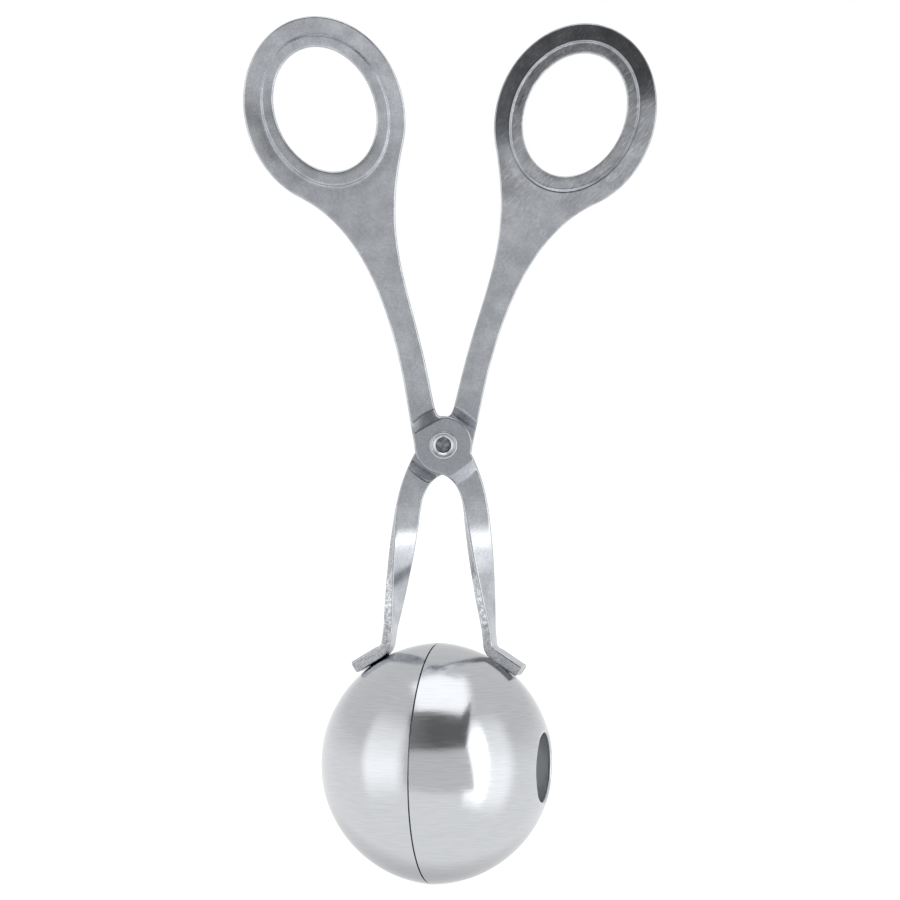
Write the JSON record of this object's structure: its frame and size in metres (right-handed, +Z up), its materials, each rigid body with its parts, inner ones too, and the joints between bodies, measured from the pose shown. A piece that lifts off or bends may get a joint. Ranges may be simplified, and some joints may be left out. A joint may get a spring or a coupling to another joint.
{
  "type": "meatball tongs",
  "caption": "Scissor-action tongs with finger rings, riveted levers and hollow hemispherical cups that close into a ball to shape a meatball.",
  "frame": {"origin": "lowest point of the closed ball, under the pivot", "axes": "+Z up from the ball to the finger rings, +Y along the pivot away from the side with the rolled rivet rim, +X towards the right handle as seen from that side"},
  "size_m": [0.086, 0.0498, 0.1798],
  "materials": {
    "lever_steel": "satin, tumbled, with rough sheared edges",
    "cup_steel": "polished, with fine level polishing lines",
    "rivet_steel": "bright rolled rim"
  },
  "bodies": {
    "front_half": {"front_lever": "lever_steel", "right_cup": "cup_steel", "pivot_rivet": "rivet_steel"},
    "rear_half": {"rear_lever": "lever_steel", "left_cup": "cup_steel"}
  },
  "joints": [
    {"name": "opening_hinge", "type": "hinge", "parent": "front_half", "child": "rear_half", "pos_m": [0, 0, 0.09147], "axis": [0, 1, 0], "range_deg": [0, 55]}
  ]
}
